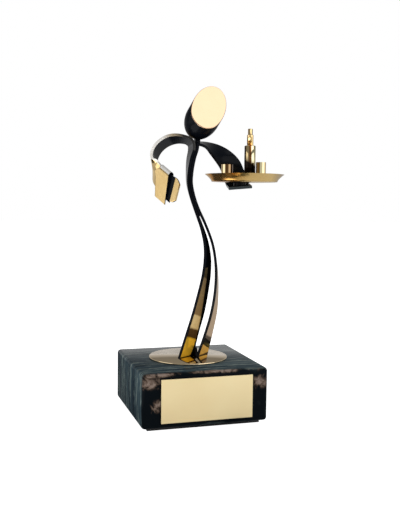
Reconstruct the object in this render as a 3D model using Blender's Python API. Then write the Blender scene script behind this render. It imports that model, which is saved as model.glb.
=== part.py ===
"""A waiter trophy: a figure of bent brass strip with a tray and a napkin, on a marble block.

Metres, +Z up. The origin is the centre of the underside of the base pad, and the name plate faces -Y.
The figure is laid out in its own frame, in millimetres: side to its right, depth to its back, height.
That frame is turned about the vertical axis by FIGURE_TURN.
"""

import math

import bmesh
import bpy
import numpy as np

MM = 0.001
GAP = 0.3  # between pieces that touch

BASE_SIDE = 100.0
BASE_TOP = 44.3
BASE_EDGE = 2.6
PAD_THICK = 2.0
PAD_INSET = 5.0
COUNTERBORE_RADIUS = 11.0
COUNTERBORE_DEPTH = 12.0

PLATE_WIDTH = 72.5
PLATE_HEIGHT = 33.3
PLATE_THICK = 0.8
PLATE_CENTRE = (0.6, 23.2)  # across and up
TAPE_THICK = 0.3
TAPE_INSET = 2.0

DISC_RADIUS = 32.0
DISC_THICK = 1.2
DISC_BACK = 1.6
DISC_TOP = BASE_TOP + GAP + DISC_THICK

STUD_RADIUS = 3.0
STUD_LENGTH = 38.0
WASHER_RADIUS = 9.0
WASHER_THICK = 1.6
NUT_ACROSS_FLATS = 10.0
NUT_HEIGHT = 5.0

FIGURE_TURN = math.radians(-17)
STRIP_WIDTH = 18.5
STRIP_THICK = 2.2
STRIP_CORNER = 0.3
STRIP_STEP = 1.8  # length of strip between two sections

HEAD_RADIUS = 13.8
HEAD_DOME = 18.0  # length of the domed lower end, a half ellipse
HEAD_CENTRE = (9.5, 0.0, 238.9)  # where the dome meets the straight bar
HEAD_LEAN = math.radians(30)
FACE_CENTRE = (14.9, 0.0, 247.5)
FACE_NORMAL = (0.395, -0.80, 0.453)
FACE_LIP = 0.6
NECK_PIN_RADIUS = 1.6
NECK_PIN_SIDE = 6.2
NECK_PIN_SPAN = (216.9, 227.1)

TRAY_CENTRE = (42.4, -21.0)  # side and depth
TRAY_BOTTOM = 187.9
TRAY_RIM = 193.6
TRAY_RIM_RADIUS = 30.9
TRAY_FLAT_RADIUS = 25.6
TRAY_THICK = 1.0
RIVET_PLACE = (39.5, -8.0)
RIVET_RADIUS = 1.8
COLLAR_RADIUS = 5.0
FLUSH = 0.3  # how far the rivet's lower end stays inside the hand
HAND_HEIGHT = 184.2  # middle of the hand's thickness at the rivet
HAND_SLOPE = (0.087, 0.104)  # rise of the hand towards its right and its back
BOTTLE_PLACE = (46.6, -19.0)
CUP_LEFT_PLACE = (28.9, -20.0)
CUP_RIGHT_PLACE = (54.6, -27.0)

NAPKIN_THICK = 0.8
NAPKIN_WIDTH = 15.6
NAPKIN_TAPER = 3.6  # how much narrower the front flap is at its lower edge
FOLD_WIDTH = 11.4
NAPKIN_HALF_GAP = 2.6
FOLD_RISE = 1.6  # how much higher the fold is at its back than at its front


def clear_scene():
    for obj in list(bpy.data.objects):
        bpy.data.objects.remove(obj, do_unlink=True)


def finish_material(name, colour, roughness, metallic):
    material = bpy.data.materials.new(name)
    material.use_nodes = True
    shader = material.node_tree.nodes["Principled BSDF"]
    shader.inputs["Base Color"].default_value = (*colour, 1.0)
    shader.inputs["Roughness"].default_value = roughness
    shader.inputs["Metallic"].default_value = metallic
    return material


def new_object(name, mesh, material):
    obj = bpy.data.objects.new(name, mesh)
    bpy.context.scene.collection.objects.link(obj)
    mesh.materials.append(material)
    mesh.shade_smooth()
    mesh.set_sharp_from_angle(angle=math.radians(35))
    return obj


def mesh_from(name, points, faces):
    mesh = bpy.data.meshes.new(name)
    mesh.from_pydata([tuple(map(float, point)) for point in points], [], faces)
    mesh.validate()
    shape = bmesh.new()
    shape.from_mesh(mesh)
    bmesh.ops.recalc_face_normals(shape, faces=shape.faces)
    shape.to_mesh(mesh)
    shape.free()
    return mesh


def figure_frame():
    """An empty that carries every piece of the figure, turned to the way the waiter faces."""
    empty = bpy.data.objects.new("figure_frame", None)
    empty.rotation_euler = (0, 0, FIGURE_TURN)
    bpy.context.scene.collection.objects.link(empty)
    return empty


def turned(name, profile, material, segments=48):
    """A solid turned about its own Z axis from (radius, height) pairs in millimetres, closed on the axis."""
    points, faces, rings = [], [], []
    for radius, height in profile:
        if radius == 0:
            rings.append([len(points)])
            points.append((0, 0, height * MM))
            continue
        rings.append(list(range(len(points), len(points) + segments)))
        for step in range(segments):
            angle = 2 * math.pi * step / segments
            points.append((radius * math.cos(angle) * MM, radius * math.sin(angle) * MM, height * MM))
    for low, high in zip(rings, rings[1:]):
        for step in range(segments):
            after = (step + 1) % segments
            if len(low) == 1:
                faces.append((low[0], high[step], high[after]))
            elif len(high) == 1:
                faces.append((low[step], low[after], high[0]))
            else:
                faces.append((low[step], low[after], high[after], high[step]))
    return new_object(name, mesh_from(name, points, faces), material)


def block(name, low, high, edge, material, segments=3):
    """A box between two corners in millimetres, with every edge rounded."""
    shape = bmesh.new()
    bmesh.ops.create_cube(shape, size=1.0)
    for vertex in shape.verts:
        for axis in range(3):
            middle = (low[axis] + high[axis]) / 2
            vertex.co[axis] = (middle + vertex.co[axis] * (high[axis] - low[axis])) * MM
    if edge:
        bmesh.ops.bevel(
            shape, geom=shape.edges[:], offset=edge * MM, segments=segments, profile=0.5, affect="EDGES"
        )
    mesh = bpy.data.meshes.new(name)
    shape.to_mesh(mesh)
    shape.free()
    return new_object(name, mesh, material)


def hole(target, cutter):
    """Cuts the cutter, a hidden guide, out of the target."""
    cutter.hide_render = True
    cutter.display_type = "WIRE"
    cutter.parent = target.parent
    cut = target.modifiers.new("hole_" + cutter.name, "BOOLEAN")
    cut.operation = "DIFFERENCE"
    cut.solver = "EXACT"
    cut.object = cutter


def rod_profile(radius, low, high, ease=0.3):
    """A plain rod with eased ends, as (radius, height) pairs."""
    lower = [(0, low), (radius - ease, low), (radius, low + ease)]
    upper = [(radius, high - ease), (radius - ease, high), (0, high)]
    return lower + upper


def along(stations, count):
    """Smooth values at even steps through hand-set stations, which are spaced by the length between them."""
    stations = np.array(stations, float)
    lengths = np.linalg.norm(np.diff(stations[:, :3], axis=0), axis=1)
    knots = np.concatenate([[0], np.cumsum(lengths)])
    slopes = np.gradient(stations, knots, axis=0)
    at = np.linspace(0, knots[-1], count)
    index = np.clip(np.searchsorted(knots, at, side="right") - 1, 0, len(knots) - 2)
    step = (knots[index + 1] - knots[index])[:, None]
    t = ((at - knots[index])[:, None]) / step
    start, end = stations[index], stations[index + 1]
    leave, arrive = slopes[index] * step, slopes[index + 1] * step
    return (
        (2 * t**3 - 3 * t**2 + 1) * start
        + (t**3 - 2 * t**2 + t) * leave
        + (3 * t**2 - 2 * t**3) * end
        + (t**3 - t**2) * arrive
    )


def across(swing, droop):
    """Unit vector from near edge to far edge of a strip: swing turns it from depth to side, droop lowers it."""
    swing, droop = math.radians(swing), math.radians(droop)
    return (math.sin(swing) * math.cos(droop), math.cos(swing) * math.cos(droop), -math.sin(droop))


def strip_rows(stations):
    """One row for each station: centre, direction across the strip, and width."""
    return [(*row[:3], *across(row[3], row[4]), row[5] if len(row) > 5 else STRIP_WIDTH) for row in stations]


def strip(name, stations, material, frame, thick=STRIP_THICK, corner=STRIP_CORNER, step=STRIP_STEP):
    """A bent, twisted flat strip with eased corners, through (side, depth, height, swing, droop[, width])."""
    rows = np.array(strip_rows(stations))
    length = np.linalg.norm(np.diff(rows[:, :3], axis=0), axis=1).sum()
    rows = along(rows, max(12, round(length / step)))
    tangent = np.gradient(rows[:, :3], axis=0)
    wide = rows[:, 3:6] / np.linalg.norm(rows[:, 3:6], axis=1, keepdims=True)
    normal = np.cross(tangent, wide)
    normal /= np.linalg.norm(normal, axis=1, keepdims=True)
    half, flat = rows[:, 6:7] / 2, thick / 2
    section = [
        (-1, corner, -flat), (-1, 0, -flat + corner), (-1, 0, flat - corner), (-1, corner, flat),
        (1, corner, flat), (1, 0, flat - corner), (1, 0, -flat + corner), (1, corner, -flat),
    ]
    points, faces = [], []
    for centre, side, up, reach in zip(rows[:, :3], wide, normal, half):
        for sign, inward, lift in section:
            points.append((centre + side * sign * (reach - inward) + up * lift) * MM)
    around = len(section)
    for row in range(len(rows) - 1):
        for corner_index in range(around):
            after = (corner_index + 1) % around
            here, there = row * around, (row + 1) * around
            faces.append((here + corner_index, here + after, there + after, there + corner_index))
    last = (len(rows) - 1) * around
    faces.append(tuple(range(around)))
    faces.append(tuple(last + index for index in reversed(range(around))))
    obj = new_object(name, mesh_from(name, points, faces), material)
    obj.parent = frame
    return obj


def on_figure(obj, frame, side, depth, height=0.0):
    obj.parent = frame
    obj.location = (side * MM, depth * MM, height * MM)
    return obj


def make_base(marble, felt, gold, tape, steel):
    half = BASE_SIDE / 2
    base = block("marble_base", (-half, -half, PAD_THICK + GAP), (half, half, BASE_TOP), BASE_EDGE, marble)
    through = turned("stud_hole", rod_profile(STUD_RADIUS + 0.6, -5, BASE_TOP + 5), marble, 32)
    hole(base, through)
    bore_top = PAD_THICK + GAP + COUNTERBORE_DEPTH
    counterbore = turned("counterbore", rod_profile(COUNTERBORE_RADIUS, -4, bore_top), marble, 48)
    hole(base, counterbore)
    for guide in (through, counterbore):
        guide.location.y = DISC_BACK * MM

    inset = half - PAD_INSET
    block("base_pad", (-inset, -inset, 0), (inset, inset, PAD_THICK), 0, felt)

    across_plate, up_plate = PLATE_CENTRE
    front = -half - GAP - TAPE_THICK
    reach, rise = PLATE_WIDTH / 2, PLATE_HEIGHT / 2
    block(
        "plate_tape",
        (across_plate - reach + TAPE_INSET, front, up_plate - rise + TAPE_INSET),
        (across_plate + reach - TAPE_INSET, front + TAPE_THICK, up_plate + rise - TAPE_INSET),
        0,
        tape,
    )
    plate_back = front - GAP
    plate = block(
        "name_plate",
        (across_plate - reach, plate_back - PLATE_THICK, up_plate - rise),
        (across_plate + reach, plate_back, up_plate + rise),
        0,
        gold,
    )
    ease = plate.modifiers.new("eased_edges", "BEVEL")
    ease.width = 0.2 * MM
    ease.segments = 2

    disc = turned(
        "foot_disc",
        rod_profile(DISC_RADIUS, BASE_TOP + GAP, DISC_TOP, 0.25),
        gold,
        96,
    )
    stud_top = BASE_TOP
    stud = turned("base_stud", rod_profile(STUD_RADIUS, stud_top - STUD_LENGTH, stud_top, 0.4), steel, 24)
    washer_top = bore_top - GAP
    washer_bottom = washer_top - WASHER_THICK
    washer = turned("base_washer", rod_profile(WASHER_RADIUS, washer_bottom, washer_top, 0.2), steel, 36)
    nut_top = washer_bottom - GAP
    nut_radius = NUT_ACROSS_FLATS / math.sqrt(3)
    nut = turned("base_nut", rod_profile(nut_radius, nut_top - NUT_HEIGHT, nut_top, 0.4), steel, 6)
    for piece in (disc, stud, washer, nut):
        piece.location.y = DISC_BACK * MM
    for piece, label in ((washer, "washer_hole"), (nut, "nut_hole")):
        thread = turned(label, rod_profile(STUD_RADIUS + GAP, 0, BASE_TOP), steel, 24)
        thread.location.y = DISC_BACK * MM
        hole(piece, thread)


def make_left_strip(brass, frame):
    """From the hand under the napkin, round the elbow, over the shoulder and down to the left foot."""
    foot = DISC_TOP + GAP
    stations = [
        (-9.4, -20.9, 179.0, -90, 76, 13.0),
        (-11.0, -19.8, 179.9, -90, 76, 17.0),
        (-16.6, -16.0, 184.3, -90, 77, 17.5),
        (-22.0, -12.2, 188.7, -88, 77, 18.0),
        (-25.7, -8.8, 192.9, -62, 80),
        (-28.4, -4.8, 197.0, -14, 60),
        (-30.0, -1.6, 201.5, 3, 31),
        (-29.4, 0.0, 208.1, 9, 20),
        (-27.0, 0.0, 213.5, 9, 18),
        (-23.0, 0.0, 217.9, 6, 19),
        (-17.6, 0.0, 221.1, 2, 19),
        (-11.7, 0.0, 222.4, -2, 16),
        (-6.0, 0.0, 222.0, -7, 12),
        (-2.2, 0.0, 220.9, -11, 9),
        (0.4, 0.0, 218.5, -13, 5),
        (0.9, 0.0, 214.6, -14, 0),
        (-0.7, 0.0, 207.1, -11, 0),
        (-1.9, 0.0, 196.1, -6, 0),
        (-1.9, 0.0, 187.1, -3, 0),
        (0.0, 0.0, 178.1, -1, 0),
        (4.1, 0.0, 166.1, 0, 0),
        (8.0, 0.0, 156.1, 2, 0),
        (10.5, 0.0, 149.1, 4, 0),
        (13.4, 0.0, 138.1, 8, 0),
        (14.6, 0.0, 125.1, 14, 0),
        (13.7, -0.4, 112.1, 19, 0),
        (11.2, -1.0, 98.1, 24, 0),
        (7.7, -1.8, 82.1, 29, 0),
        (2.2, -2.8, 62.6, 32, 0),
        (-2.2, -3.6, foot, 37, 0),
    ]
    return strip("left_strip", stations, brass, frame)


def make_right_leg(brass, frame):
    """From the neck, close beside the left strip, down to the right foot."""
    foot = DISC_TOP + GAP
    stations = [
        (3.8, 0.0, 216.3, -14, 0),
        (3.6, 0.0, 214.6, -14, 0),
        (1.95, 0.0, 207.1, -11, 0),
        (0.7, 0.0, 196.1, -6, 0),
        (0.7, 0.0, 187.1, -3, 0),
        (2.7, 0.0, 178.1, -1, 0),
        (7.0, 0.0, 166.1, 0, 0),
        (11.7, 0.2, 156.1, 0, 0),
        (14.7, 0.4, 149.1, 0, 0),
        (18.7, 0.8, 137.6, 0, 0),
        (21.2, 1.4, 124.1, 1, 0),
        (22.2, 2.0, 112.1, 4, 0),
        (22.0, 2.8, 98.1, 8, 0),
        (20.3, 3.8, 82.1, 14, 0),
        (15.8, 5.2, 62.6, 20, 0),
        (11.2, 6.2, foot, 26, 0),
    ]
    return strip("right_leg_strip", stations, brass, frame)


def make_right_arm(brass, frame):
    """From the neck out to the side, turning its upper face forwards, then down behind and under the tray."""
    stations = [
        (5.0, 0.4, 218.8, 0, -8),
        (8.0, 0.4, 218.7, 2, -10),
        (12.6, 0.6, 217.7, 5, -14),
        (18.8, 1.4, 214.3, 18, -26),
        (26.0, 4.0, 209.2, 43, -29),
        (32.0, 8.2, 202.7, 65, -24),
        (35.4, 12.2, 195.5, 80, -12),
        (37.6, 13.2, 189.5, 88, -6),
        (38.9, 9.8, 186.2, 90, -5),
        (39.3, 3.0, 185.4, 90, -5),
        (39.5, -6.0, 184.4, 90, -5),
        (39.7, -15.6, 183.4, 90, -5),
    ]
    return strip("right_arm_strip", stations, brass, frame, step=1.4)


def make_head(brass, frame):
    """A round bar with a domed lower end, cut off on a slant, with an eased lip round the slanted face."""
    steps = 14
    arc = [math.radians(90 * step / steps) for step in range(1, steps + 1)]
    dome = [(HEAD_RADIUS * math.sin(angle), -HEAD_DOME * math.cos(angle)) for angle in arc]
    profile = [(0, -HEAD_DOME)] + dome + [(HEAD_RADIUS, 48.0), (0, 48.0)]
    head = turned("head", profile, brass, 64)
    head.parent = frame
    head.location = [value * MM for value in HEAD_CENTRE]
    head.rotation_euler = (0, HEAD_LEAN, 0)
    return head


def slant_cutter(frame, material):
    """A thick slab whose lower face is the plane of the slanted cut."""
    size = 60.0
    cutter = block("slant_cutter", (-size, -size, 0), (size, size, 2 * size), 0, material)
    cutter.parent = frame
    cutter.location = [value * MM for value in FACE_CENTRE]
    side, depth, height = FACE_NORMAL
    tip = math.atan2(math.hypot(side, depth), height)
    cutter.rotation_euler = (0, tip, math.atan2(depth, side))
    return cutter


def finish_head(head, frame, material):
    hole(head, slant_cutter(frame, material))
    lip = head.modifiers.new("lip", "BEVEL")
    lip.width = FACE_LIP * MM
    lip.segments = 2
    lip.limit_method = "ANGLE"
    lip.angle_limit = math.radians(25)
    low, high = NECK_PIN_SPAN
    socket = turned("neck_socket", rod_profile(NECK_PIN_RADIUS + GAP, low - 6, high + GAP), material, 20)
    on_figure(socket, frame, NECK_PIN_SIDE, 0)
    hole(head, socket)


def make_neck_pin(arm, brass, frame):
    low, high = NECK_PIN_SPAN
    pin = turned("neck_pin", rod_profile(NECK_PIN_RADIUS, low, high), brass, 20)
    on_figure(pin, frame, NECK_PIN_SIDE, 0)
    passage = turned("neck_passage", rod_profile(NECK_PIN_RADIUS + GAP, low - 5, high + 5), brass, 20)
    on_figure(passage, frame, NECK_PIN_SIDE, 0)
    hole(arm, passage)


def make_napkin(gold, frame):
    """A sheet folded over the forearm: up the front flap, round the narrower fold and down the back flap."""
    turn, slope = 35.0, 34.0
    face = np.array((-math.sin(math.radians(turn)), -math.cos(math.radians(turn)), 0))
    along_fold = np.array(across(turn - 90, -slope))
    middle = np.array((-20.2, -13.2, 195.4))
    lower = np.array((-2.8, 0.9, -21.6))
    up = np.array((0, 0, 1.0))
    offset = NAPKIN_HALF_GAP + NAPKIN_THICK / 2

    def station(place, width):
        centre = place - along_fold * (NAPKIN_WIDTH - width) / 2
        return (*centre, turn - 90, -slope, width)

    front = middle + face * offset
    back = middle - face * offset + up * FOLD_RISE
    shares = (1.0, 0.66, 0.33, 0.1)
    stations = [station(front + lower * share, NAPKIN_WIDTH - NAPKIN_TAPER * share) for share in shares]
    for degrees in (20, 55, 90, 125, 160):
        angle = math.radians(degrees)
        lift = math.sin(angle) * offset * 0.8 + (1 - math.cos(angle)) / 2 * FOLD_RISE
        stations.append(station(middle + face * math.cos(angle) * offset + up * lift, FOLD_WIDTH))
    stations += [station(back + lower * share, FOLD_WIDTH) for share in reversed(shares)]
    return strip("napkin", stations, gold, frame, NAPKIN_THICK, 0.15, 1.0)


def make_tray(brass, frame):
    """A spun dish: a flat floor and a short wall that flares out to a thin rim."""
    height = TRAY_RIM - TRAY_BOTTOM
    flare = []
    for step in range(7):
        share = step / 6
        flare.append((TRAY_FLAT_RADIUS + (TRAY_RIM_RADIUS - TRAY_FLAT_RADIUS) * share**1.5, height * share))
    inner = []
    for radius, rise in reversed(flare):
        inner.append((radius - TRAY_THICK * 0.85, max(rise, TRAY_THICK)))
    profile = [(0, 0)] + flare + inner + [(0, TRAY_THICK)]
    tray = turned("tray", profile, brass, 96)
    return on_figure(tray, frame, *TRAY_CENTRE, TRAY_BOTTOM)


def make_tray_fixing(tray, arm, brass, frame):
    """A rivet through the tray, a collar cut to the slope of the hand, and the hand, ground flush below."""
    clear = RIVET_RADIUS + GAP
    passage = turned("rivet_hole", rod_profile(clear, HAND_HEIGHT - 6, TRAY_BOTTOM + 5), brass, 24)
    on_figure(passage, frame, *RIVET_PLACE)
    for piece in (tray, arm):
        hole(piece, passage)
    hand_top = HAND_HEIGHT + STRIP_THICK / 2
    low, high = hand_top + GAP, TRAY_BOTTOM - GAP
    outline = [(0, low), (COLLAR_RADIUS, low), (COLLAR_RADIUS, high), (0, high)]
    collar = turned("tray_collar", outline, brass, 32)
    for vertex in collar.data.vertices:
        if vertex.co.z < (low + high) / 2 * MM:
            vertex.co.z += vertex.co.x * HAND_SLOPE[0] + vertex.co.y * HAND_SLOPE[1]
    on_figure(collar, frame, *RIVET_PLACE)
    bore = turned("collar_bore", rod_profile(clear, low - 3, high + 3), brass, 24)
    on_figure(bore, frame, *RIVET_PLACE)
    hole(collar, bore)
    floor = TRAY_BOTTOM + TRAY_THICK + GAP
    tail = hand_top - STRIP_THICK + FLUSH
    profile = [
        (0, tail), (RIVET_RADIUS, tail), (RIVET_RADIUS, floor),
        (3.4, floor), (3.2, floor + 0.5), (2.0, floor + 1.0), (0, floor + 1.1),
    ]
    on_figure(turned("tray_rivet", profile, brass, 24), frame, *RIVET_PLACE)


def make_tray_service(brass, frame):
    floor = TRAY_BOTTOM + TRAY_THICK + GAP
    body = [(0, 0), (4.1, 0), (4.4, 0.3), (4.4, 26.3), (3.9, 26.8), (2.9, 26.9), (0, 26.9)]
    neck = [(0, 0), (2.5, 0), (2.5, 7.7), (2.3, 7.9), (1.85, 8.0), (1.85, 12.4), (1.65, 12.6), (0, 12.6)]
    on_figure(turned("bottle_body", body, brass, 40), frame, *BOTTLE_PLACE, floor)
    on_figure(turned("bottle_neck", neck, brass, 32), frame, *BOTTLE_PLACE, floor + 26.9 + GAP)
    for name, place, radius, height in (
        ("cup_left", CUP_LEFT_PLACE, 4.5, 12.0),
        ("cup_right", CUP_RIGHT_PLACE, 3.9, 13.6),
    ):
        wall, floor_thick = 0.7, 2.0
        profile = [
            (0, 0), (radius - 0.3, 0), (radius, 0.3), (radius, height),
            (radius - wall, height), (radius - wall, floor_thick), (0, floor_thick),
        ]
        on_figure(turned(name, profile, brass, 40), frame, *place, floor)


def main():
    clear_scene()
    brass = finish_material("polished_brass", (0.83, 0.62, 0.27), 0.08, 1.0)
    gold = finish_material("satin_gold", (0.86, 0.70, 0.40), 0.3, 1.0)
    marble = finish_material("dark_marble", (0.03, 0.04, 0.045), 0.12, 0.0)
    felt = finish_material("felt", (0.02, 0.02, 0.02), 0.95, 0.0)
    tape = finish_material("tape", (0.5, 0.5, 0.48), 0.8, 0.0)
    steel = finish_material("steel", (0.6, 0.6, 0.6), 0.3, 1.0)
    frame = figure_frame()
    make_base(marble, felt, gold, tape, steel)
    make_left_strip(brass, frame)
    make_right_leg(brass, frame)
    arm = make_right_arm(brass, frame)
    head = make_head(brass, frame)
    finish_head(head, frame, steel)
    make_neck_pin(arm, brass, frame)
    make_napkin(gold, frame)
    tray = make_tray(brass, frame)
    make_tray_fixing(tray, arm, brass, frame)
    make_tray_service(brass, frame)


main()
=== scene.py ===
"""Looks of the waiter trophy: polished and lacquered brass, satin gilt sheet, dark marble."""

import math

import bmesh
import bpy
import numpy as np
from mathutils import Matrix, Vector


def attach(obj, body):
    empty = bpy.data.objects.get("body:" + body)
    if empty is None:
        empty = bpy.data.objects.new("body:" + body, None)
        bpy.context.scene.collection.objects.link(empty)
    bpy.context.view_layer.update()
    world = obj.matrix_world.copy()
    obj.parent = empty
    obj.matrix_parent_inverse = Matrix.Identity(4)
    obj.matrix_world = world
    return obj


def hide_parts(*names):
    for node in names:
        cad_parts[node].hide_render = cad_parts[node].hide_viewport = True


FIGURE_TURN = math.radians(-17)
VIEW_TURN = math.radians(-17.05)  # the camera stands this far round from the front of the block
TO_RIGHT = Vector((math.cos(VIEW_TURN), math.sin(VIEW_TURN), 0))
TO_BACK = Vector((-math.sin(VIEW_TURN), math.cos(VIEW_TURN), 0))
CAMERA_PLACE = Vector((-0.1661, -0.5707, 0.1705))
CAMERA_TARGET = Vector((0.00893, 0, 0.12631))
CAMERA_ROLL = math.radians(0.64)
CAMERA_LENS = 51.1

CAD_SHARP = math.radians(32)  # edges sharper than this stay sharp on the copies of CAD nodes
PIECE_SHARP = math.radians(40)  # and on the pieces built here

# Levels of the three floor sheets, in metres.
FLOOR_LEVEL = -0.0003
CARD_LEVEL = -0.0006
MIRRORED_LEVEL = -0.0012

# Sizes from here on are in millimetres, and the figure's are in its own frame.
FOOT_LEVEL = 45.8  # top of the foot disc
STRIP_WIDTH = 18.5
STRIP_THICK = 2.2
STRIP_FILLET = 0.35
STRIP_STEP = 0.8  # length of strip between two sections
FLAT_SHARES = (-0.6, -0.3, 0.0, 0.3, 0.6)  # of the half width, for the points on a strip's faces
FILLET_ANGLES = (0, 22.5, 45, 67.5, 90)
EDGE_POINTS = 2 * (len(FILLET_ANGLES) + 1)
UPPER_POINTS = range(len(FLAT_SHARES))  # of a strip's section
LOWER_POINTS = range(len(FLAT_SHARES) + EDGE_POINTS, 2 * len(FLAT_SHARES) + EDGE_POINTS)

LEG_LOW, LEG_HIGH = 44.0, 116.0  # heights between which the legs' painted reflection bands change
LEFT_TONES_TOP = 120.0  # above it the left leg is lacquered
RIGHT_TONES_TOP = 122.0  # above it the inner face of the right leg is lacquered
BAND_DROP = 5.0  # how much lower a band of painted reflection is at a strip's far edge
DISC_GAP_SHADE = (46.3, 47.1)  # heights between which the painted shade of the gap above the disc fades out
DARK_FADE = 5.0  # over which the bottle turns from dark to bright

HEAD_RADIUS = 13.8
HEAD_DOME = 18.0  # length of the domed lower end, a half ellipse
HEAD_CENTRE = (9.5, 0.0, 238.9)  # where the dome meets the straight bar
HEAD_LEAN = math.radians(30)
FACE_CENTRE = (14.9, 0.0, 247.5)
FACE_NORMAL = (0.395, -0.80, 0.453)
FACE_LIP = 0.6
HEAD_POINTS = 96  # round the bar
SKIN_RINGS = 22

NAPKIN_TURN, NAPKIN_SLOPE = 35.0, 34.0
NAPKIN_THICK = 0.8
NAPKIN_WIDTH = 15.6
NAPKIN_TAPER = 3.6  # how much narrower the front flap is at its lower edge
FOLD_WIDTH = 11.4
FOLD_RISE = 1.6  # how much higher the fold is at its back than at its front
NAPKIN_HALF_GAP = 2.6
FOLD_HIGHLIGHT_ABOVE = 195.3  # height above which the fold has a painted highlight

FRONT_PATCHES = (  # of paler stone: side, up, half width and half height
    (-45, 38, 12, 11),
    (-36, 43.5, 20, 4),
    (-39, 20, 7, 8),
    (44, 33, 11, 11),
    (12, 43.8, 36, 2.6),
)

BLACK = (0.004, 0.0045, 0.006)
LACQUER = ((0.002, 0.0026, 0.0045), (0.004, 0.0055, 0.009))  # where the coat is deep, where thin
# lacquer lightened to a blue grey, a painted reflection, for the hand's front edge
PAINTED_SHEEN_LACQUER = ((0.035, 0.045, 0.052), (0.055, 0.068, 0.075))
BRASS = ((0.86, 0.61, 0.27), (0.91, 0.67, 0.33))  # tarnished and clean
FACE_BRASS = ((0.72, 0.505, 0.325), (0.76, 0.535, 0.35))
SKY = ((0.45, 0.7), (0.5, 0.65), (0.55, 0.5), (0.61, 0.42), (0.70, 0.2), (0.95, 0.25))


def new_material(name):
    material = bpy.data.materials.new(name)
    material.use_nodes = True
    tree = material.node_tree
    return material, tree, tree.nodes["Principled BSDF"]


def object_place(tree, scale=(1, 1, 1)):
    """Object coordinates times scale, for solid textures a few millimetres in size."""
    place = tree.nodes.new("ShaderNodeTexCoord")
    mapping = tree.nodes.new("ShaderNodeMapping")
    mapping.inputs["Scale"].default_value = scale
    tree.links.new(place.outputs["Object"], mapping.inputs["Vector"])
    return mapping.outputs["Vector"]


def coordinate(tree, vector, axis):
    node = tree.nodes.new("ShaderNodeSeparateXYZ")
    tree.links.new(vector, node.inputs["Vector"])
    return node.outputs[axis]


def noise(tree, vector, scale, detail=4.0, roughness=0.5, distortion=0.0):
    node = tree.nodes.new("ShaderNodeTexNoise")
    node.inputs["Scale"].default_value = scale
    node.inputs["Detail"].default_value = detail
    node.inputs["Roughness"].default_value = roughness
    node.inputs["Distortion"].default_value = distortion
    tree.links.new(vector, node.inputs["Vector"])
    return node.outputs["Fac"]


def ramp(tree, value, stops):
    """A colour ramp; stops are (position, colour), and a colour of one number is a grey."""
    node = tree.nodes.new("ShaderNodeValToRGB")
    elements = node.color_ramp.elements
    while len(elements) < len(stops):
        elements.new(0.5)
    for element, (position, colour) in zip(elements, stops):
        element.position = position
        colour = (colour,) * 3 if isinstance(colour, (int, float)) else colour
        element.color = (*colour, 1.0)
    tree.links.new(value, node.inputs["Fac"])
    return node.outputs["Color"]


def feed(tree, shader, socket, value, stops):
    """Drives one of the shader's sockets with value, through a ramp."""
    tree.links.new(ramp(tree, value, stops), shader.inputs[socket])


def span(tree, value, low, high):
    """Runs from 0 where value is low to 1 where it is high."""
    node = tree.nodes.new("ShaderNodeMapRange")
    node.inputs["From Min"].default_value = low
    node.inputs["From Max"].default_value = high
    tree.links.new(value, node.inputs["Value"])
    return node.outputs["Result"]


def plain(tree, colour):
    node = tree.nodes.new("ShaderNodeRGB")
    node.outputs[0].default_value = (*colour, 1)
    return node.outputs[0]


def mix(tree, factor, low, high, blend="MIX"):
    node = tree.nodes.new("ShaderNodeMix")
    node.data_type = "RGBA"
    node.blend_type = blend
    if isinstance(factor, (int, float)):
        node.inputs["Factor"].default_value = factor
    else:
        tree.links.new(factor, node.inputs["Factor"])
    tree.links.new(low, node.inputs["A"])
    tree.links.new(high, node.inputs["B"])
    return node.outputs["Result"]


def bump(tree, shader, height, strength, distance):
    node = tree.nodes.new("ShaderNodeBump")
    node.inputs["Strength"].default_value = strength
    node.inputs["Distance"].default_value = distance
    tree.links.new(height, node.inputs["Height"])
    tree.links.new(node.outputs["Normal"], shader.inputs["Normal"])


def arithmetic(tree, operation, first, second):
    node = tree.nodes.new("ShaderNodeMath")
    node.operation = operation
    for socket, value in zip(node.inputs, (first, second)):
        if isinstance(value, (int, float)):
            socket.default_value = value
        else:
            tree.links.new(value, socket)
    return node.outputs["Value"]


def polished_brass(name="polished_brass_finish", tones=BRASS):
    """Mirror brass with faint tarnish clouds and wiping marks."""
    tarnished, clean = tones
    material, tree, shader = new_material(name)
    shader.inputs["Metallic"].default_value = 1.0
    clouds = noise(tree, object_place(tree), 45.0, 5.0, 0.6)
    feed(tree, shader, "Base Color", clouds, [(0.3, tarnished), (0.7, clean)])
    smears = noise(tree, object_place(tree, (1, 1, 0.2)), 160.0, 3.0, 0.5)
    feed(tree, shader, "Roughness", smears, [(0.35, 0.035), (0.75, 0.085)])
    return material


def highlight_brass(name="highlight_brass_finish", painted_shade_span=None):
    """Bright brass, almost white, as a painted highlight; the span in x, if given, is a painted
    fade from the highlight into shade.
    """
    material, tree, shader = new_material(name)
    shader.inputs["Metallic"].default_value = 0.35
    clouds = noise(tree, object_place(tree), 60.0, 4.0, 0.6)
    colour = ramp(tree, clouds, [(0.3, (0.93, 0.89, 0.82)), (0.7, (0.98, 0.96, 0.92))])
    if painted_shade_span:
        start, end = painted_shade_span
        past = arithmetic(tree, "SUBTRACT", coordinate(tree, object_place(tree), "X"), start)
        share = arithmetic(tree, "DIVIDE", past, end - start)
        fade = ramp(tree, share, [(0.0, 1.0), (0.45, (0.5, 0.42, 0.3)), (1.0, 0.02)])
        colour = mix(tree, 1.0, colour, fade, "MULTIPLY")
    tree.links.new(colour, shader.inputs["Base Color"])
    feed(tree, shader, "Roughness", clouds, [(0.3, 0.22), (0.75, 0.34)])
    return material


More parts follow.
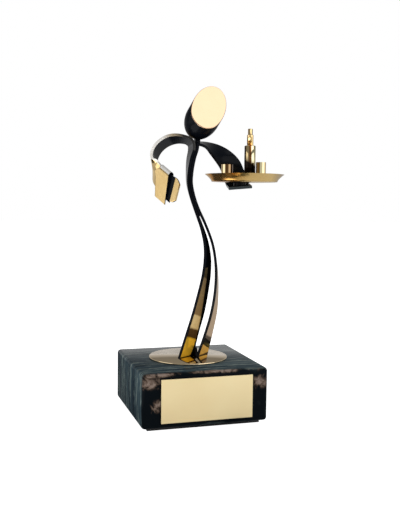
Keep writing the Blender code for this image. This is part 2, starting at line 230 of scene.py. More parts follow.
def leg_brass(name, metallic, smooth, tint, stops, borders=None):
    """Brass with painted reflections: bands of colour by height, a little lower towards the strip's
    far edge.

    stops are (height in millimetres, colour); borders are (height, share of the width), and beyond
    that share the brass is black, a painted dark reflection.
    """
    material, tree, shader = new_material(name)
    shader.inputs["Metallic"].default_value = metallic
    shader.inputs["Specular IOR Level"].default_value = 0.0
    shader.inputs["Specular Tint"].default_value = (*tint, 1)
    place = object_place(tree)
    height = coordinate(tree, place, "Z")
    width_share = tree.nodes.new("ShaderNodeAttribute")
    width_share.attribute_name = "across"
    cloud = noise(tree, place, 140.0, 4.0, 0.6)
    drop = arithmetic(tree, "MULTIPLY", width_share.outputs["Fac"], BAND_DROP / 1000)
    level = arithmetic(tree, "ADD", height, drop)
    uneven = arithmetic(tree, "ADD", level, arithmetic(tree, "MULTIPLY", cloud, 0.0012))

    def by_height(value, pairs):
        """A ramp over the height of the legs."""
        share = span(tree, value, LEG_LOW / 1000, LEG_HIGH / 1000)
        reach = LEG_HIGH - LEG_LOW
        return ramp(tree, share, [((up - LEG_LOW) / reach, tone) for up, tone in pairs])

    colour = by_height(uneven, stops)
    if borders:
        border = by_height(height, borders)
        past = arithmetic(tree, "SUBTRACT", width_share.outputs["Fac"], border)
        beyond = span(tree, past, -0.03, 0.03)
        colour = mix(tree, beyond, colour, plain(tree, BLACK))
        bare = arithmetic(tree, "SUBTRACT", 1.0, beyond)
        tree.links.new(arithmetic(tree, "MULTIPLY", bare, metallic), shader.inputs["Metallic"])
    # painted shade in the gap just above the foot disc
    gap_shade = by_height(height, zip(DISC_GAP_SHADE, (0.04, 1.0)))
    colour = mix(tree, 1.0, colour, gap_shade, "MULTIPLY")
    tree.links.new(colour, shader.inputs["Base Color"])
    feed(tree, shader, "Roughness", cloud, [(0.3, smooth), (0.75, smooth * 1.6)])
    return material


def left_leg_brass():
    # Painted reflections by height: a gold foot, a dark band, tan, then brown fading to black.
    stops = [
        (46, (1.0, 0.56, 0.04)),
        (63.5, (1.0, 0.61, 0.05)),
        (65, (0.07, 0.035, 0.012)),
        (71, (0.11, 0.055, 0.02)),
        (72.5, (1.0, 0.80, 0.43)),
        (82, (1.0, 0.82, 0.46)),
        (83, (0.34, 0.23, 0.11)),
        (98, (0.32, 0.24, 0.13)),
        (112, (0.25, 0.19, 0.12)),
        (113, BLACK),
    ]
    borders = [(46, 0.70), (53, 0.82), (62, 0.87), (70, 0.80), (80, 0.70), (95, 0.57), (112, 0.42)]
    return leg_brass("left_leg_finish", 0.5, 0.14, (1.0, 0.95, 0.8), stops, borders)


def right_leg_brass():
    # Painted reflections by height: a gold foot, a dark band, then paler brass.
    stops = [
        (46, (0.95, 0.60, 0.12)),
        (57.5, (0.95, 0.60, 0.14)),
        (59, (0.03, 0.02, 0.02)),
        (64, (0.03, 0.02, 0.02)),
        (65.5, (0.80, 0.62, 0.45)),
        (100, (0.88, 0.68, 0.44)),
    ]
    return leg_brass("right_leg_finish", 1.0, 0.05, (0.8, 0.7, 0.6), stops)


def black_lacquer(name="black_lacquer_finish", tones=LACQUER, gloss=0.09):
    """Lacquer with the slight unevenness of a brushed coat."""
    deep, thin = tones
    material, tree, shader = new_material(name)
    shader.inputs["IOR"].default_value = 1.42
    shader.inputs["Specular IOR Level"].default_value = gloss
    place = object_place(tree)
    feed(tree, shader, "Base Color", noise(tree, place, 60.0, 4.0, 0.5), [(0.3, deep), (0.7, thin)])
    feed(tree, shader, "Roughness", noise(tree, place, 130.0, 3.0), [(0.3, 0.15), (0.75, 0.23)])
    return material


def satin_gold():
    """Gilt sheet with a fine brushed grain."""
    material, tree, shader = new_material("satin_gold_finish")
    shader.inputs["Metallic"].default_value = 0.8
    grain = noise(tree, object_place(tree, (1, 1, 0.06)), 2600.0, 2.0, 0.6)
    clouds = noise(tree, object_place(tree), 55.0, 4.0, 0.6)
    tones = [(0.3, (0.60, 0.42, 0.175)), (0.72, (0.70, 0.51, 0.24))]
    feed(tree, shader, "Base Color", clouds, tones)
    feed(tree, shader, "Roughness", grain, [(0.3, 0.27), (0.7, 0.40)])
    bump(tree, shader, grain, 0.06, 0.0002)
    return material


def plate_gold():
    """Pale matt gilt plate, ready for engraving, with a fine grain along its length."""
    material, tree, shader = new_material("plate_gold_finish")
    shader.inputs["Metallic"].default_value = 0.1
    grain = noise(tree, object_place(tree, (0.05, 1, 1)), 2400.0, 2.0, 0.6)
    clouds = noise(tree, object_place(tree), 26.0, 4.0, 0.55)
    tones = [(0.3, (0.97, 0.77, 0.41)), (0.72, (1.0, 0.83, 0.47))]
    feed(tree, shader, "Base Color", clouds, tones)
    feed(tree, shader, "Roughness", grain, [(0.3, 0.36), (0.7, 0.48)])
    bump(tree, shader, grain, 0.05, 0.0002)
    return material


def disc_brass():
    """Polished brass of the foot disc, clouded a little by tarnish."""
    material, tree, shader = new_material("disc_brass_finish")
    shader.inputs["Metallic"].default_value = 1.0
    clouds = noise(tree, object_place(tree), 70.0, 5.0, 0.6)
    tones = [(0.3, (0.84, 0.66, 0.42)), (0.7, (0.90, 0.72, 0.47))]
    feed(tree, shader, "Base Color", clouds, tones)
    feed(tree, shader, "Roughness", clouds, [(0.3, 0.05), (0.7, 0.12)])
    return material


def soft_patch(tree, vector, centre, size):
    """1 at the centre, falling to 0 at an ellipsoid of the given half sizes."""
    mapping = tree.nodes.new("ShaderNodeMapping")
    mapping.vector_type = "TEXTURE"
    mapping.inputs["Location"].default_value = centre
    mapping.inputs["Scale"].default_value = size
    tree.links.new(vector, mapping.inputs["Vector"])
    ball = tree.nodes.new("ShaderNodeTexGradient")
    ball.gradient_type = "SPHERICAL"
    tree.links.new(mapping.outputs["Vector"], ball.inputs["Vector"])
    return ball.outputs["Fac"]


def marble_front(tree, place):
    """Near-black stone of the front sheet, with soft pale patches."""
    cloud = noise(tree, place, 130.0, 7.0, 0.68, 0.9)
    patch = None
    for side, up, half_width, half_height in FRONT_PATCHES:
        centre = (side / 1000, -0.05, up / 1000)
        ball = soft_patch(tree, place, centre, (half_width / 1000, 0.02, half_height / 1000))
        patch = ball if patch is None else arithmetic(tree, "MAXIMUM", patch, ball)
    strength = arithmetic(tree, "ADD", arithmetic(tree, "MULTIPLY", patch, 0.42), cloud)
    tones = [
        (0.64, (0.004, 0.006, 0.008)),
        (0.70, (0.035, 0.025, 0.02)),
        (0.77, (0.12, 0.085, 0.065)),
        (0.88, (0.27, 0.205, 0.17)),
    ]
    return ramp(tree, strength, tones)


def dark_marble():
    """Polished marble in thin upright sheets parallel to the front, veined between the sheets."""
    material, tree, shader = new_material("dark_marble_finish")
    shader.inputs["Roughness"].default_value = 0.06
    shader.inputs["IOR"].default_value = 1.1
    shader.inputs["Specular IOR Level"].default_value = 0.25
    place = tree.nodes.new("ShaderNodeTexCoord").outputs["Object"]
    wavy = noise(tree, object_place(tree, (1, 0.3, 1)), 22.0, 3.0, 0.5)
    bend = tree.nodes.new("ShaderNodeCombineXYZ")
    tree.links.new(arithmetic(tree, "MULTIPLY", wavy, 0.006), bend.inputs["Y"])
    bent = tree.nodes.new("ShaderNodeVectorMath")
    tree.links.new(place, bent.inputs[0])
    tree.links.new(bend.outputs["Vector"], bent.inputs[1])
    sheets = tree.nodes.new("ShaderNodeMapping")
    sheets.inputs["Scale"].default_value = (0.10, 1.0, 0.12)
    tree.links.new(bent.outputs["Vector"], sheets.inputs["Vector"])
    broad = noise(tree, sheets.outputs["Vector"], 120.0, 4.0, 0.6)
    tones = [
        (0.32, (0.012, 0.022, 0.032)),
        (0.50, (0.034, 0.056, 0.070)),
        (0.66, (0.070, 0.105, 0.118)),
    ]
    fine = noise(tree, sheets.outputs["Vector"], 300.0, 5.0, 0.65)
    veins = ramp(tree, fine, [(0.53, 0.0), (0.60, 0.8), (0.65, 0.1)])
    streaked = mix(tree, veins, ramp(tree, broad, tones), plain(tree, (0.24, 0.30, 0.28)))
    near_front = span(tree, coordinate(tree, bent.outputs["Vector"], "Y"), -0.0440, -0.0462)
    colour = mix(tree, near_front, streaked, marble_front(tree, place))
    tree.links.new(colour, shader.inputs["Base Color"])
    return material


def black_felt():
    material, tree, shader = new_material("felt_finish")
    fibres = noise(tree, object_place(tree), 2200.0, 5.0, 0.7)
    tones = [(0.3, (0.006, 0.006, 0.006)), (0.7, (0.03, 0.03, 0.031))]
    feed(tree, shader, "Base Color", fibres, tones)
    shader.inputs["Roughness"].default_value = 0.95
    shader.inputs["Sheen Weight"].default_value = 0.2
    bump(tree, shader, fibres, 0.5, 0.0004)
    return material


def plain_steel():
    material, tree, shader = new_material("steel_finish")
    shader.inputs["Metallic"].default_value = 1.0
    grain = noise(tree, object_place(tree, (1, 1, 6)), 700.0, 3.0, 0.6)
    feed(tree, shader, "Base Color", grain, [(0.3, (0.42, 0.42, 0.43)), (0.7, (0.58, 0.58, 0.57))])
    feed(tree, shader, "Roughness", grain, [(0.3, 0.25), (0.7, 0.4)])
    return material


def foam_tape():
    material, tree, shader = new_material("tape_finish")
    cells = noise(tree, object_place(tree), 1500.0, 3.0, 0.7)
    feed(tree, shader, "Base Color", cells, [(0.35, (0.36, 0.36, 0.34)), (0.7, (0.55, 0.55, 0.52))])
    shader.inputs["Roughness"].default_value = 0.85
    return material


def turned_brass(name, axis_side, radius, tones, dark_below=None, smooth=0.03):
    """Polished brass of a turned piece, with painted reflections as bands across it, given as
    (share of its breadth, colour).

    axis_side, radius and dark_below are in millimetres; lower than dark_below it is almost black,
    with a fade over DARK_FADE.
    """
    material, tree, shader = new_material(name)
    shader.inputs["Metallic"].default_value = 1.0
    place = object_place(tree)
    cloud = noise(tree, place, 120.0, 4.0, 0.6)
    sideways = tree.nodes.new("ShaderNodeVectorMath")
    sideways.operation = "DOT_PRODUCT"
    sideways.inputs[1].default_value = (math.cos(FIGURE_TURN), math.sin(FIGURE_TURN), 0)
    tree.links.new(place, sideways.inputs[0])
    start, end = (axis_side - radius) / 1000, (axis_side + radius) / 1000
    share = span(tree, sideways.outputs["Value"], start, end)
    colour = ramp(tree, share, tones)
    if dark_below:
        slant = arithmetic(tree, "MULTIPLY", share, 0.006)
        slanted = arithmetic(tree, "ADD", coordinate(tree, place, "Z"), slant)
        uneven = arithmetic(tree, "ADD", slanted, arithmetic(tree, "MULTIPLY", cloud, 0.004))
        fade = span(tree, uneven, dark_below / 1000, (dark_below + DARK_FADE) / 1000)
        colour = mix(tree, fade, plain(tree, (0.012, 0.008, 0.006)), colour)
    tree.links.new(colour, shader.inputs["Base Color"])
    feed(tree, shader, "Roughness", cloud, [(0.3, smooth), (0.75, smooth * 2.5)])
    return material


def tray_brass():
    # painted reflections across the tray's wall
    tones = [
        (0.05, (0.86, 0.56, 0.22)),
        (0.26, (0.66, 0.34, 0.10)),
        (0.42, (0.60, 0.34, 0.09)),
        (0.56, (0.86, 0.58, 0.22)),
        (0.84, (0.92, 0.66, 0.28)),
        (0.96, (0.52, 0.38, 0.18)),
    ]
    return turned_brass("tray_finish", 40.0, 32.0, tones, smooth=0.12)


def bottle_brass():
    # painted reflections across the bottle, dark at its middle
    tones = [
        (0.10, (0.05, 0.03, 0.015)),
        (0.20, (0.85, 0.65, 0.34)),
        (0.36, (0.85, 0.62, 0.30)),
        (0.45, (0.42, 0.14, 0.03)),
        (0.54, (0.42, 0.14, 0.03)),
        (0.63, (1.0, 0.92, 0.6)),
        (0.95, (0.95, 0.80, 0.45)),
    ]
    return turned_brass("bottle_finish", 46.6, 4.8, tones, 207.0)


def cup_left_brass():
    # painted reflections across the left cup, with a dark stripe
    tones = [
        (0.28, (0.85, 0.68, 0.40)),
        (0.35, (0.13, 0.06, 0.02)),
        (0.52, (0.11, 0.05, 0.015)),
        (0.62, (0.45, 0.30, 0.15)),
        (0.85, (0.20, 0.12, 0.07)),
    ]
    return turned_brass("cup_left_finish", 28.9, 4.5, tones)


def cup_right_brass():
    # painted reflections across the right cup, with a dark stripe
    tones = [
        (0.06, (0.45, 0.30, 0.12)),
        (0.14, (0.10, 0.05, 0.01)),
        (0.32, (0.10, 0.05, 0.01)),
        (0.42, (0.98, 0.88, 0.55)),
        (0.9, (0.76, 0.58, 0.31)),
    ]
    return turned_brass("cup_right_finish", 54.6, 3.9, tones)


def placed(name, data):
    """A new object in the scene."""
    thing = bpy.data.objects.new(name, data)
    bpy.context.scene.collection.objects.link(thing)
    return thing


def stand_for(piece, node):
    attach(piece, "root")
    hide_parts(node)


def finished(node_name, material):
    """A smooth-shaded piece with the CAD node's shape, which it stands for."""
    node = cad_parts[node_name]
    shape = bmesh.new()
    shape.from_mesh(node.data)
    bmesh.ops.remove_doubles(shape, verts=shape.verts[:], dist=1e-6)
    mesh = bpy.data.meshes.new(node_name + "_finish")
    shape.to_mesh(mesh)
    shape.free()
    piece = placed(node_name + "_finish", mesh)
    mesh.materials.append(material)
    mesh.shade_smooth()
    mesh.set_sharp_from_angle(angle=CAD_SHARP)
    stand_for(piece, node_name)


def on_figure(point):
    """A point of the figure's own frame, side, depth and height, as a place in metres."""
    side, depth, height = (value / 1000 for value in point)
    return (
        side * math.cos(FIGURE_TURN) - depth * math.sin(FIGURE_TURN),
        side * math.sin(FIGURE_TURN) + depth * math.cos(FIGURE_TURN),
        height,
    )


def mesh_piece(name, points, faces, painted, materials):
    """A smooth piece in the figure's frame; painted has each face's place in materials."""
    mesh = bpy.data.meshes.new(name)
    mesh.from_pydata([on_figure(point) for point in points], [], faces)
    for material in materials:
        mesh.materials.append(material)
    mesh.polygons.foreach_set("material_index", painted)
    shape = bmesh.new()
    shape.from_mesh(mesh)
    bmesh.ops.recalc_face_normals(shape, faces=shape.faces)
    shape.to_mesh(mesh)
    shape.free()
    mesh.shade_smooth()
    mesh.set_sharp_from_angle(angle=PIECE_SHARP)
    return placed(name, mesh)


def along(rows, count):
    """Smooth values at even steps through given rows, spaced by the length between them."""
    rows = np.array(rows, float)
    lengths = np.linalg.norm(np.diff(rows[:, :3], axis=0), axis=1)
    knots = np.concatenate([[0], np.cumsum(lengths)])
    slopes = np.gradient(rows, knots, axis=0)
    at = np.linspace(0, knots[-1], count)
    index = np.clip(np.searchsorted(knots, at, side="right") - 1, 0, len(knots) - 2)
    step = (knots[index + 1] - knots[index])[:, None]
    t = ((at - knots[index])[:, None]) / step
    start, end = rows[index], rows[index + 1]
    leave, arrive = slopes[index] * step, slopes[index + 1] * step
    return (
        (2 * t**3 - 3 * t**2 + 1) * start
        + (t**3 - 2 * t**2 + t) * leave
        + (3 * t**2 - 2 * t**3) * end
        + (t**3 - t**2) * arrive
    )


def across(swing, droop):
    """Unit vector from a strip's near edge to its far edge.

    In degrees, swing turns it from depth to side and droop lowers it.
    """
    swing, droop = math.radians(swing), math.radians(droop)
    return (
        math.sin(swing) * math.cos(droop),
        math.cos(swing) * math.cos(droop),
        -math.sin(droop),
    )


def strip_points(thick, fillet):
    """One section of a strip, as (edge, inset, lift).

    An inset is measured inward from edge -1 or 1; with edge 0 it is a share of the half width. The
    list runs along the upper face, round the far edge and back along the lower face.
    """
    flat = thick / 2
    arcs = [math.radians(angle) for angle in FILLET_ANGLES]
    above = [(0, share, flat) for share in FLAT_SHARES]
    far = [(1, fillet + 0.2, flat)]
    far += [(1, fillet * (1 - math.sin(a)), flat - fillet * (1 - math.cos(a))) for a in arcs]
    far += [(1, inset, -lift) for edge, inset, lift in reversed(far)]
    below = [(0, -share, -lift) for edge, share, lift in above]
    near = [(-1, inset, -lift) for edge, inset, lift in far]
    return above + far + below + near


def strip(
    name, node, stations, materials, paint,
    thick=STRIP_THICK, fillet=STRIP_FILLET, step=STRIP_STEP, width=STRIP_WIDTH,
):
    """A bent and twisted flat strip with rounded edges.

    Each station is (side, depth, height, swing, droop[, width]). paint(side, height) gives the
    places in materials of the upper face, far edge, lower face and near edge.
    """
    rows = [(*row[:3], *across(*row[3:5]), row[5] if len(row) > 5 else width) for row in stations]
    length = np.linalg.norm(np.diff(np.array(rows)[:, :3], axis=0), axis=1).sum()
    rows = along(rows, round(length / step))
    centres, widths = rows[:, :3], rows[:, 6]
    tangent = np.gradient(centres, axis=0)
    wide = rows[:, 3:6] / np.linalg.norm(rows[:, 3:6], axis=1, keepdims=True)
    normal = np.cross(tangent, wide)
    normal /= np.linalg.norm(normal, axis=1, keepdims=True)
    section = strip_points(thick, fillet)
    around = len(section)
    points, faces, painted, width_shares = [], [], [], []
    for centre, side, up, full in zip(centres, wide, normal, widths):
        for edge, inset, lift in section:
            reach = edge * (full / 2 - inset) if edge else inset * full / 2
            points.append(centre + side * reach + up * lift)
            width_shares.append(0.5 + edge * (0.5 - inset / full) if edge else 0.5 + inset / 2)
    for row in range(len(rows) - 1):
        here, there = row * around, (row + 1) * around
        upper, far, lower, near = paint(centres[row][0], centres[row][2])
        for index in range(around):
            after = (index + 1) % around
            faces.append((here + index, here + after, there + after, there + index))
            if index in UPPER_POINTS or after in UPPER_POINTS:
                painted.append(upper)
            elif index in LOWER_POINTS or after in LOWER_POINTS:
                painted.append(lower)
            else:
                painted.append(far if index < LOWER_POINTS.start else near)
    last = (len(rows) - 1) * around
    faces.append(tuple(range(around)))
    faces.append(tuple(last + index for index in reversed(range(around))))
    painted += [paint(centres[end][0], centres[end][2])[3] for end in (0, -1)]
    piece = mesh_piece(name, points, faces, painted, materials)
    piece.data.attributes.new("across", "FLOAT", "POINT").data.foreach_set("value", width_shares)
    if node:
        stand_for(piece, node)
    else:
        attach(piece, "root")


def make_left_strip(satin, brass, lacquer):
    """From the hand under the napkin, over the shoulder and down to the left foot."""
    # The arch's edges are almost white brass: a painted highlight, fading into painted shade
    # towards the right.
    highlight_edge = highlight_brass("arch_edge_finish", (-0.024, -0.008))
    dull_lacquer = black_lacquer("dull_lacquer_finish", gloss=0.0)
    materials = (brass, lacquer, satin, left_leg_brass(), highlight_edge, dull_lacquer)
    polished, black, gilt, painted_bands, pale, dull = range(6)
    stations = [
        (-9.4, -20.9, 179.0, -90, 76, 13.0),
        (-11.0, -19.8, 179.9, -90, 76, 17.0),
        (-16.6, -16.0, 184.3, -90, 77, 17.5),
        (-22.0, -12.2, 188.7, -88, 77, 18.0),
        (-25.7, -8.8, 192.9, -62, 80),
        (-28.4, -4.8, 197.0, -14, 60),
        (-30.0, -1.6, 201.5, 3, 31),
        (-29.4, 0.0, 208.1, 9, 20),
        (-27.0, 0.0, 213.5, 9, 18),
        (-23.0, 0.0, 217.9, 6, 19),
        (-17.6, 0.0, 221.1, 2, 19),
        (-11.7, 0.0, 222.4, -2, 16),
        (-6.0, 0.0, 222.0, -7, 12),
        (-2.2, 0.0, 220.9, -11, 9),
        (0.4, 0.0, 218.5, -13, 5),
        (0.9, 0.0, 214.6, -14, 0),
        (-0.7, 0.0, 207.1, -11, 0),
        (-1.9, 0.0, 196.1, -6, 0),
        (-1.9, 0.0, 187.1, -3, 0),
        (0.0, 0.0, 178.1, -1, 0),
        (4.1, 0.0, 166.1, 0, 0),
        (8.0, 0.0, 156.1, 2, 0),
        (10.5, 0.0, 149.1, 4, 0),
        (13.4, 0.0, 138.1, 8, 0),
        (14.6, 0.0, 125.1, 14, 0),
        (13.7, -0.4, 112.1, 19, 0),
        (11.2, -1.0, 98.1, 24, 0),
        (7.7, -1.8, 82.1, 29, 0),
        (2.2, -2.8, 62.6, 32, 0),
        (-2.2, -3.6, FOOT_LEVEL, 37, 0),
    ]

    def paint(side, height):
        bare_hand = -12.6 < side < -5 and height < 190
        under_napkin = side < -12.6 and height < 188
        arch = side < -15 or (side < 1.2 and height > 213)
        chest = height > 175
        if bare_hand:
            return gilt, polished, black, polished
        if under_napkin:
            return black, black, black, black
        if arch:
            # the arch's edges get the painted highlight
            return polished, pale, black, pale
        if chest:
            return black, black, black, black
        return painted_bands if height < LEFT_TONES_TOP else dull, black, black, black

    strip("left_strip_finish", "left_strip", stations, materials, paint)


def make_right_leg(brass, lacquer):
    """From the neck, close beside the left strip, down to the right foot."""
    polished, black, painted_bands = range(3)
    stations = [
        (3.8, 0.0, 216.3, -14, 0),
        (3.6, 0.0, 214.6, -14, 0),
        (1.95, 0.0, 207.1, -11, 0),
        (0.7, 0.0, 196.1, -6, 0),
        (0.7, 0.0, 187.1, -3, 0),
        (2.7, 0.0, 178.1, -1, 0),
        (7.0, 0.0, 166.1, 0, 0),
        (11.7, 0.2, 156.1, 0, 0),
        (14.7, 0.4, 149.1, 0, 0),
        (18.7, 0.8, 137.6, 0, 0),
        (21.2, 1.4, 124.1, 1, 0),
        (22.2, 2.0, 112.1, 4, 0),
        (22.0, 2.8, 98.1, 8, 0),
        (20.3, 3.8, 82.1, 14, 0),
        (15.8, 5.2, 62.6, 20, 0),
        (11.2, 6.2, FOOT_LEVEL, 26, 0),
    ]

    def paint(side, height):
        return painted_bands, black, polished if height < RIGHT_TONES_TOP else black, black

    materials = (brass, lacquer, right_leg_brass())
    strip("right_leg_finish", "right_leg_strip", stations, materials, paint)


def make_right_arm(brass, lacquer):
    """From the shoulder, twisting as it falls, to the open hand under the tray."""
    polished, black, painted_sheen = range(3)
    stations = [
        (5.0, 0.4, 218.8, 0, -8),
        (8.0, 0.4, 218.7, 2, -10),
        (12.6, 0.6, 217.7, 5, -14),
        (18.8, 1.4, 214.3, 18, -26),
        (26.0, 4.0, 209.2, 43, -29),
        (32.0, 8.2, 202.7, 65, -24),
        (35.4, 12.2, 195.5, 80, -12),
        (37.6, 13.2, 189.5, 88, -6),
        (38.9, 9.8, 186.2, 90, -5),
        (39.3, 3.0, 185.4, 90, -5),
        (39.5, -6.0, 184.4, 90, -5),
        (39.7, -15.6, 183.4, 90, -5),
    ]

    def paint(side, height):
        hand = height <= 188
        # the hand's near edge and end get lacquer lightened by a painted reflection
        return black, black, polished, painted_sheen if hand else black

    materials = (brass, lacquer, black_lacquer("painted_sheen_lacquer_finish", PAINTED_SHEEN_LACQUER))
    strip("right_arm_finish", "right_arm_strip", stations, materials, paint)


def make_brazing(lacquer):
    """Lacquered brazing metal between the body strips, between the feet and under the head."""
    seam = [
        (2.2, 0.0, 214.6, -14, 0),
        (0.6, 0.0, 207.1, -11, 0),
        (-0.6, 0.0, 196.1, -6, 0),
        (-0.6, 0.0, 187.1, -3, 0),
        (1.35, 0.0, 178.1, -1, 0),
        (5.5, 0.0, 166.1, 0, 0),
        (7.9, 0.0, 160.4, 0, 0),
    ]
    bead = [
        (5.2, 0.9, 45.9, -32, 0, 6.6),
        (5.3, 0.9, 50.0, -32, 0, 5.2),
        (5.5, 0.9, 53.0, -32, 0, 2.6),
    ]
    wedge = [
        (3.3, 0, 213.4, -12, 0, 9),
        (3.9, 0, 216.6, -12, 0, 10),
        (4.9, 0, 220.2, -12, 0, 9),
        (5.3, 0, 223.2, -12, 0, 6),
    ]

    def paint(side, height):
        return 0, 0, 0, 0

    for name, stations, thick, fillet, step, width in (
        ("brazed_seam", seam, 1.0, 0.2, 1.0, 15),
        ("brazed_feet", bead, 2.0, 0.6, 0.7, STRIP_WIDTH),
        ("brazed_neck", wedge, 4.2, 1.2, 0.7, STRIP_WIDTH),
    ):
        strip(
            name, None, stations, (lacquer,), paint,
            thick, fillet, step, width,
        )


def make_head(face_brass, lacquer):
    """A round bar with a domed lower end, cut on a slant; its face and rounded lip are polished."""
    centre, face_centre, face_normal = map(np.array, (HEAD_CENTRE, FACE_CENTRE, FACE_NORMAL))
    axis = np.array((math.sin(HEAD_LEAN), 0, math.cos(HEAD_LEAN)))
    level = np.array((math.cos(HEAD_LEAN), 0, -math.sin(HEAD_LEAN)))
    back = np.array((0, 1.0, 0))

    def place(angle, travel):
        """A point of the bar's skin; travel is the distance along the axis from the dome's tip."""
        reach = HEAD_RADIUS
        if travel < HEAD_DOME:
            reach = HEAD_RADIUS * math.sqrt(1 - (1 - travel / HEAD_DOME) ** 2)
        outward = level * math.cos(angle) + back * math.sin(angle)
        return centre + axis * (travel - HEAD_DOME) + outward * reach

    def cut(angle):
        """How far along the axis the slanted face meets the skin."""
        low, high = 0.0, 60.0
        for _ in range(30):
            half = (low + high) / 2
            if (place(angle, half) - face_centre).dot(face_normal) < 0:
                low = half
            else:
                high = half
        return low

    angles = [2 * math.pi * step / HEAD_POINTS for step in range(HEAD_POINTS)]
    cuts = [cut(angle) for angle in angles]
    edge = [place(angle, travel) for angle, travel in zip(angles, cuts)]
    middle = sum(edge) / HEAD_POINTS
    inward = [(middle - point) / np.linalg.norm(middle - point) for point in edge]
    inner = [point + inner_way * FACE_LIP for point, inner_way in zip(edge, inward)]
    rings = []
    for step in range(1, SKIN_RINGS + 1):
        share = (step / SKIN_RINGS) ** 1.6
        rings.append([place(angle, (end - FACE_LIP) * share) for angle, end in zip(angles, cuts)])
    below = rings[-1]
    for step in (0.25, 0.5, 0.75, 1.0):
        rings.append([
            low * (1 - step) ** 2 + tip * 2 * step * (1 - step) + high * step**2
            for low, tip, high in zip(below, edge, inner)
        ])
    for share in (0.99, 0.9, 0.7, 0.45, 0.2):
        rings.append([middle + (point - middle) * share for point in inner])
    points = [place(0, 0)] + [point for ring in rings for point in ring] + [middle]
    after = [(step + 1) % HEAD_POINTS for step in range(HEAD_POINTS)]
    faces = [(0, 1 + after[step], 1 + step) for step in range(HEAD_POINTS)]
    for ring in range(len(rings) - 1):
        here, there = 1 + ring * HEAD_POINTS, 1 + (ring + 1) * HEAD_POINTS
        for step in range(HEAD_POINTS):
            faces.append((here + step, here + after[step], there + after[step], there + step))
    last, top = 1 + (len(rings) - 1) * HEAD_POINTS, len(points) - 1
    faces += [(last + step, last + after[step], top) for step in range(HEAD_POINTS)]
    skin_faces = HEAD_POINTS * SKIN_RINGS
    painted = [1] * skin_faces + [0] * (len(faces) - skin_faces)
    piece = mesh_piece("head_finish", points, faces, painted, (face_brass, lacquer))
    stand_for(piece, "head")


def make_napkin(gold, lacquer):
    """A sheet folded over the forearm: gilt outside, lacquered inside, with a painted highlight
    along the top of the fold.
    """
    turn = math.radians(NAPKIN_TURN)
    face = np.array((-math.sin(turn), -math.cos(turn), 0))
    along_fold = np.array(across(NAPKIN_TURN - 90, -NAPKIN_SLOPE))
    middle = np.array((-20.2, -13.2, 195.4))
    lower = np.array((-2.8, 0.9, -21.6))
    up = np.array((0, 0, 1.0))
    offset = NAPKIN_HALF_GAP + NAPKIN_THICK / 2

    def station(place, width):
        centre = place - along_fold * (NAPKIN_WIDTH - width) / 2
        return (*centre, NAPKIN_TURN - 90, -NAPKIN_SLOPE, width)

    def paint(side, height):
        # the top of the fold is almost white brass, a painted highlight
        return 2 if height > FOLD_HIGHLIGHT_ABOVE else 0, 1, 1, 1

    front = middle + face * offset
    back = middle - face * offset + up * FOLD_RISE
    shares = (1.0, 0.66, 0.33, 0.1)
    stations = []
    for share in shares:
        stations.append(station(front + lower * share, NAPKIN_WIDTH - NAPKIN_TAPER * share))
    for degrees in (20, 55, 90, 125, 160):
        angle = math.radians(degrees)
        lift = math.sin(angle) * offset * 0.8 + (1 - math.cos(angle)) / 2 * FOLD_RISE
        stations.append(station(middle + face * math.cos(angle) * offset + up * lift, FOLD_WIDTH))
    stations += [station(back + lower * share, FOLD_WIDTH) for share in reversed(shares)]
    materials = (gold, lacquer, highlight_brass())
    strip(
        "napkin_finish", "napkin", stations, materials, paint,
        NAPKIN_THICK, fillet=0.2, step=0.5,
    )


def make_base(lacquer):
    finished("marble_base", dark_marble())
    finished("name_plate", plate_gold())
    finished("foot_disc", disc_brass())
    steel = plain_steel()
    for name, material in (
        ("base_pad", black_felt()),
        ("plate_tape", foam_tape()),
        ("base_stud", steel),
        ("base_washer", steel),
        ("base_nut", steel),
        ("neck_pin", lacquer),
        ("tray_collar", lacquer),
    ):
        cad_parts[name].material_slots[0].material = material


def make_tray(brass):
    finished("tray", tray_brass())
    finished("tray_rivet", brass)
    finished("bottle_neck", brass)
    finished("bottle_body", bottle_brass())
    finished("cup_left", cup_left_brass())
    finished("cup_right", cup_right_brass())


def in_view(right, back, up):
    """A point given as distances to the right, to the back and up, as seen from the camera."""
    return TO_RIGHT * right + TO_BACK * back + Vector((0, 0, up))


def softbox(name, place, target, width, height, radiance):
    """A soft light of the given size and radiance, out of the camera's sight."""
    data = bpy.data.lights.new(name, "AREA")
    data.shape = "RECTANGLE"
    data.size = width
    data.size_y = height
    data.energy = radiance * math.pi * width * height
    lamp = placed(name, data)
    lamp.location = place
    lamp.rotation_euler = (Vector(target) - Vector(place)).to_track_quat("-Z", "Y").to_euler()
    lamp.visible_camera = False


def make_lights():
    middle = (0, 0, 0.15)
    softbox("light_over", in_view(0.6, -0.5, 1.3), middle, 1.3, 1.0, 1.5)
    softbox("light_left", in_view(-1.3, -0.5, 0.35), middle, 1.2, 1.2, 0.85)
    softbox("light_right", in_view(1.35, -0.85, 0.35), middle, 1.6, 1.2, 1.15)
    softbox("light_card", in_view(-0.3, -0.4, 0.001), in_view(-0.3, -0.4, 1.0), 0.6, 0.6, 2.0)


def make_world():
    """A grey studio, brighter low down, which the camera itself sees as white."""
    world = bpy.data.worlds.new("studio")
    bpy.context.scene.world = world
    world.use_nodes = True
    tree = world.node_tree
    place = tree.nodes.new("ShaderNodeTexCoord")
    height = span(tree, coordinate(tree, place.outputs["Generated"], "Z"), -1.0, 1.0)
    rays = tree.nodes.new("ShaderNodeLightPath")
    white = plain(tree, (1, 1, 1))
    colour = mix(tree, rays.outputs["Is Camera Ray"], ramp(tree, height, SKY), white)
    tree.links.new(colour, tree.nodes["Background"].inputs["Color"])


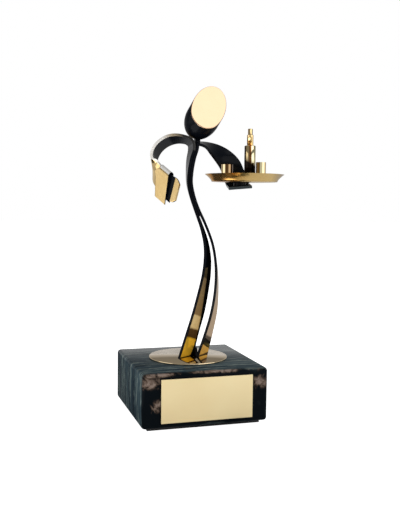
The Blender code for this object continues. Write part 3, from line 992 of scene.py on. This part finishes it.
def floor_sheet(name, size, place, colour, emission):
    bpy.ops.mesh.primitive_plane_add(size=size, location=place)
    sheet = bpy.context.object
    sheet.name = name
    material, tree, shader = new_material(name + "_finish")
    shade = noise(tree, object_place(tree), 3.0, 2.0)
    feed(tree, shader, "Base Color", shade, [(0.3, colour * 0.98), (0.7, colour)])
    shader.inputs["Roughness"].default_value = 0.9
    shader.inputs["Specular IOR Level"].default_value = 0.1
    shader.inputs["Emission Color"].default_value = (1, 1, 1, 1)
    shader.inputs["Emission Strength"].default_value = emission
    sheet.data.materials.append(material)
    sheet.visible_shadow = False
    return sheet


def make_floor():
    """A pale floor, a darker one that polished metal mirrors, and a dark card behind the object."""
    floor = floor_sheet("floor", 12, (0, 0, FLOOR_LEVEL), 0.9, 1.0)
    floor.visible_glossy = False
    floor.visible_diffuse = False
    mirrored = floor_sheet("floor_mirrored", 12, (0, 0, MIRRORED_LEVEL), 0.4, 0.33)
    mirrored.visible_camera = False
    card = floor_sheet("floor_card", 0.44, in_view(-0.17, 0.17, CARD_LEVEL), 0.05, 0.02)
    card.rotation_euler.z = VIEW_TURN
    card.visible_camera = False


def make_camera():
    data = bpy.data.cameras.new("camera")
    data.lens = CAMERA_LENS
    data.sensor_width = 36
    data.clip_start = 0.01
    camera = placed("camera", data)
    back = (CAMERA_PLACE - CAMERA_TARGET).normalized()
    right = Vector((0, 0, 1)).cross(back).normalized()
    up = back.cross(right)
    turned_right = right * math.cos(CAMERA_ROLL) + up * math.sin(CAMERA_ROLL)
    turned_up = up * math.cos(CAMERA_ROLL) - right * math.sin(CAMERA_ROLL)
    axes = Matrix((turned_right, turned_up, back)).transposed()
    camera.matrix_world = Matrix.Translation(CAMERA_PLACE) @ axes.to_4x4()
    bpy.context.scene.camera = camera


def main():
    brass = polished_brass()
    lacquer = black_lacquer()
    gold = satin_gold()
    make_base(lacquer)
    make_left_strip(gold, brass, lacquer)
    make_right_leg(brass, lacquer)
    make_right_arm(brass, lacquer)
    make_brazing(lacquer)
    make_head(polished_brass("face_brass_finish", FACE_BRASS), lacquer)
    make_napkin(gold, lacquer)
    make_tray(brass)
    make_lights()
    make_world()
    make_floor()
    make_camera()
    bpy.context.scene.view_settings.view_transform = "Standard"


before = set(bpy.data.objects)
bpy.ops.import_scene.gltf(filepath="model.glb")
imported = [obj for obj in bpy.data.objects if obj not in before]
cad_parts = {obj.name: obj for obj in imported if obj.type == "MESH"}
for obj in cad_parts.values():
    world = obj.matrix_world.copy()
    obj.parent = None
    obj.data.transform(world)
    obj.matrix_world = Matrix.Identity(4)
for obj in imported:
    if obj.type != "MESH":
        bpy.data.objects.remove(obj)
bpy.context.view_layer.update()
main()
